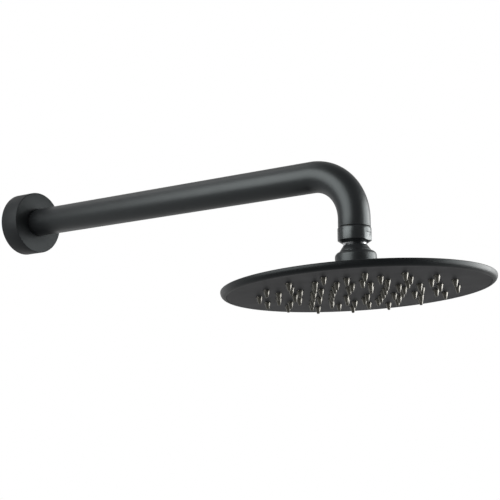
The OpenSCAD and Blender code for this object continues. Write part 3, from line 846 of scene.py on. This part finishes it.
class SHOWER_OT_face_plate(PieceOperator):
    """Thin face plate with a chamfered hole round each nozzle"""
    bl_idname = "shower.face_plate"
    bl_label = "Face Plate"

    def build(self, head, finish):
        d, n = head.dish, head.nozzle
        low, high = d.inset, d.inset + d.face
        outer = d.radius - d.rim_width - d.face_gap
        hole = n.base + n.gap
        places = list(nozzle_places(n))
        bm = bmesh.new()
        perforated(bm, outer - d.face_edge, low, places, hole + n.edge)
        perforated(bm, outer, high, places, hole)
        side = bmesh.new()
        Line(side, outer - d.face_edge, low).to((outer, low + d.face_edge), (outer, high)).turned()
        joined(bm, side)
        for angle, r in places:
            wall = bmesh.new()
            Line(wall, hole + n.edge, low).to((hole, low + n.edge), (hole, high)).turned(NOZZLE_ROUND)
            joined(bm, wall, Matrix.Rotation(angle, 4, "Z") @ Matrix.Translation((r, 0.0, 0.0)))
        piece("face_plate_matte", bm, finish["face"], "head", "face_black", "face_plate",
              place=in_dish(head))


class SHOWER_OT_nozzles(PieceOperator):
    """One soft mat with its rings of tapered nozzles"""
    bl_idname = "shower.nozzles"
    bl_label = "Nozzles"

    def build(self, head, finish):
        d, n = head.dish, head.nozzle
        low, high = d.inset + d.face, d.inset + d.face + d.web
        outer = d.plate - 0.0007
        places = list(nozzle_places(n))
        bm = bmesh.new()
        perforated(bm, outer, low, places, n.base)
        perforated(bm, outer, high, places, n.inlet)
        side = bmesh.new()
        Line(side, outer, low).to((outer, high)).turned()
        joined(bm, side)
        for angle, r in places:
            cone = bmesh.new()
            Line(cone, n.base, low).to(
                (n.base, 0.0), (n.tip, 0.0002 - n.length), (n.tip - 0.0002, -n.length),
                (n.jet + 0.0001, -n.length), (n.jet, 0.0001 - n.length),
                (n.jet, 0.0015 - n.length), (n.inlet, high)).turned(NOZZLE_ROUND)
            joined(bm, cone, Matrix.Rotation(angle, 4, "Z") @ Matrix.Translation((r, 0.0, 0.0)))
        piece("nozzles_soft", bm, finish["nozzle"], "head", "nozzle_rubber", "nozzle_mat",
              place=in_dish(head))


class SHOWER_OT_inner_parts(PieceOperator):
    """Finishes for the fittings, rings, gaskets and screws that keep their CAD shape"""
    bl_idname = "shower.inner_parts"
    bl_label = "Inner Parts"

    def build(self, head, finish):
        dress(finish["brass"], "outlet_nipple", "hub_lock_nut")
        dress(finish["steel"], "filter_screen", "backing_plate_screws")
        dress(finish["seal"], "packing_ring", "stud_washer", "hub_gasket", "rim_gasket")
        dress(finish["ring"], "friction_ring")
        dress(finish["regulator"], "flow_regulator")
        dress(finish["plate"], "backing_plate")


# ---- stage

def towards(azimuth, elevation):
    """The direction from the object that an azimuth and an elevation stand for."""
    return Vector((math.sin(azimuth) * math.cos(elevation),
                   -math.cos(azimuth) * math.cos(elevation), math.sin(elevation)))


def soft_light(name, direction, distance, size, power, spread):
    """A soft box that looks at the head from a direction given as azimuth and elevation."""
    back = towards(*(math.radians(a) for a in direction))
    lamp = bpy.data.lights.new(name, "AREA")
    lamp.shape = "RECTANGLE"
    lamp.size, lamp.size_y = size
    lamp.energy = power
    lamp.spread = math.radians(spread)
    obj = bpy.data.objects.new(name, lamp)
    obj.location = Vector((0.0, -0.35, -0.06)) + back * distance
    obj.visible_camera = False
    obj.rotation_mode = "QUATERNION"
    obj.rotation_quaternion = (-back).to_track_quat("-Z", "Y")
    bpy.context.scene.collection.objects.link(obj)
    return obj


def calculated(tree, operation, *values):
    """Output of a math node on sockets or numbers."""
    node = tree.nodes.new("ShaderNodeMath")
    node.operation = operation
    for socket, value in zip(node.inputs, values):
        if isinstance(value, bpy.types.NodeSocket):
            tree.links.new(value, socket)
        else:
            socket.default_value = value
    return node.outputs["Value"]


def backdrop(tree, stage, place, dark_height):
    """Where the white backdrop shows, and its strength: reflections darken to the camera's side."""
    rays = tree.nodes.new("ShaderNodeLightPath").outputs
    shown = calculated(tree, "MAXIMUM", rays["Is Camera Ray"], calculated(
        tree, "MAXIMUM", rays["Is Glossy Ray"], rays["Is Transmission Ray"]))
    unit = tree.nodes.new("ShaderNodeVectorMath")
    unit.operation = "NORMALIZE"
    tree.links.new(place, unit.inputs[0])
    near = tree.nodes.new("ShaderNodeVectorMath")
    near.operation = "DOT_PRODUCT"
    tree.links.new(unit.outputs["Vector"], near.inputs[0])
    near.inputs[1].default_value = towards(stage.azimuth, dark_height)
    mirrored = tree.nodes.new("ShaderNodeMapRange")
    mirrored.interpolation_type = "SMOOTHSTEP"
    mirrored.inputs["From Min"].default_value = stage.dark_from
    mirrored.inputs["From Max"].default_value = stage.dark_to
    mirrored.inputs["To Min"].default_value = stage.mirrored
    mirrored.inputs["To Max"].default_value = stage.dark
    tree.links.new(near.outputs["Value"], mirrored.inputs["Value"])
    return shown, calculated(tree, "MAXIMUM", rays["Is Camera Ray"], mirrored.outputs["Result"])


class SHOWER_OT_stage(PieceOperator):
    """Pale floor, plain soft light and the camera"""
    bl_idname = "shower.stage"
    bl_label = "Stage"

    def build(self, head, finish):
        stage = head.stage
        self.floor(stage)
        self.world(stage)
        self.lights(stage)
        self.camera(stage)
        bpy.context.scene.view_settings.view_transform = "Standard"

    def floor(self, stage):
        bm = bmesh.new()
        bmesh.ops.create_grid(bm, x_segments=1, y_segments=1, size=stage.floor_size / 2,
                              matrix=Matrix.Translation((0.0, -0.2, -stage.floor)))
        mesh = bpy.data.meshes.new("floor")
        bm.to_mesh(mesh)
        bm.free()
        n = Nodes("pale floor")
        shader = n.shader.inputs
        shader["Base Color"].default_value = (0.5, 0.5, 0.5, 1.0)
        shader["Roughness"].default_value = 0.9
        shader["Specular IOR Level"].default_value = 0.0
        shader["Emission Color"].default_value = (1.0, 1.0, 1.0, 1.0)
        shown, strength = backdrop(n.tree, stage, n.place, 0.0)
        away = n.add("ShaderNodeVectorMath", operation="LENGTH")
        n.link(n.place, away.inputs[0])
        glow = n.add("ShaderNodeMapRange", interpolation_type="SMOOTHSTEP")
        glow.inputs["From Min"].default_value = stage.floor
        glow.inputs["From Max"].default_value = stage.floor * 4.0
        glow.inputs["To Min"].default_value = stage.floor_glow
        n.link(away.outputs["Value"], glow.inputs["Value"])
        n.link(calculated(n.tree, "MULTIPLY", calculated(n.tree, "MULTIPLY", shown, strength),
                          glow.outputs["Result"]), shader["Emission Strength"])
        mesh.materials.append(n.material)
        floor = bpy.data.objects.new("floor", mesh)
        bpy.context.scene.collection.objects.link(floor)

    def world(self, stage):
        world = bpy.data.worlds.new("studio")
        bpy.context.scene.world = world
        world.use_nodes = True
        tree = world.node_tree
        direction = tree.nodes.new("ShaderNodeTexCoord").outputs["Generated"]
        shown, strength = backdrop(tree, stage, direction, stage.dark_height)
        fill = tree.nodes["Background"]
        fill.inputs["Strength"].default_value = stage.fill
        white = tree.nodes.new("ShaderNodeBackground")
        mix = tree.nodes.new("ShaderNodeMixShader")
        for background in (fill, white):
            background.inputs["Color"].default_value = (1.0, 1.0, 1.0, 1.0)
        tree.links.new(strength, white.inputs["Strength"])
        tree.links.new(shown, mix.inputs["Fac"])
        tree.links.new(fill.outputs["Background"], mix.inputs[1])
        tree.links.new(white.outputs["Background"], mix.inputs[2])
        tree.links.new(mix.outputs["Shader"], tree.nodes["World Output"].inputs["Surface"])

    def lights(self, stage):
        soft_light("left soft box", (-112.0, 20.0), 1.5, (1.7, 1.5), stage.left_power, 110.0)
        soft_light("right soft box", (70.0, 0.0), 1.5, (1.15, 1.0), stage.right_power, 110.0)
        soft_light("near right soft box", (42.0, 5.0), 0.5, (0.56, 0.5), stage.near_power, 180.0)
        soft_light("back left soft box", (165.0, -4.0), 1.5, (1.0, 1.0), stage.back_power, 110.0)
        soft_light("high back soft box", (-170.0, 53.0), 1.5, (1.0, 0.8), stage.high_power, 110.0)

    def camera(self, stage):
        back = towards(stage.azimuth, stage.elevation)
        right = Vector((math.cos(stage.azimuth), math.sin(stage.azimuth), 0.0))
        up = back.cross(right)
        turned = Matrix((right, up, back)).transposed().to_4x4()
        data = bpy.data.cameras.new("camera")
        data.lens = stage.lens
        data.sensor_width = 36.0
        data.clip_start, data.clip_end = 0.01, 100.0
        camera = bpy.data.objects.new("camera", data)
        camera.matrix_world = (Matrix.Translation(stage.camera) @ turned
                               @ Matrix.Rotation(stage.roll, 4, "Z"))
        bpy.context.scene.collection.objects.link(camera)
        bpy.context.scene.camera = camera


PIECES = (
    SHOWER_OT_stage, SHOWER_OT_arm_tube, SHOWER_OT_wall_flange, SHOWER_OT_inlet_fitting,
    SHOWER_OT_swivel_nut, SHOWER_OT_ball, SHOWER_OT_collar_and_hub, SHOWER_OT_dish,
    SHOWER_OT_face_plate, SHOWER_OT_nozzles, SHOWER_OT_inner_parts,
)


class SHOWER_PT_panel(bpy.types.Panel):
    """Sizes and pieces of the shower head"""
    bl_idname = "SHOWER_PT_panel"
    bl_label = "Shower Head"
    bl_space_type = "VIEW_3D"
    bl_region_type = "UI"
    bl_category = "Shower Head"

    def draw(self, context):
        head = context.scene.shower_head
        for operator in PIECES:
            self.layout.operator(operator.bl_idname)
        for group in head.bl_rna.properties:
            if group.type == "POINTER" and group.identifier != "rna_type":
                box = self.layout.box()
                box.label(text=group.name)
                values = getattr(head, group.identifier)
                for value in values.bl_rna.properties:
                    if value.identifier not in ("rna_type", "name"):
                        box.prop(values, value.identifier)


CLASSES = (ArmSizes, InletSizes, FlangeSizes, NutSizes, BallSizes, HubSizes, DishSizes,
           NozzleSizes, FinishSettings, StageSettings, ShowerHead, *PIECES, SHOWER_PT_panel)


def register():
    for cls in CLASSES:
        bpy.utils.register_class(cls)
    bpy.types.Scene.shower_head = PointerProperty(type=ShowerHead)


def unregister():
    del bpy.types.Scene.shower_head
    for cls in reversed(CLASSES):
        bpy.utils.unregister_class(cls)


def main():
    register()
    for operator in PIECES:
        group, name = operator.bl_idname.split(".")
        getattr(getattr(bpy.ops, group), name)()


if __name__ == "__main__":
    main()
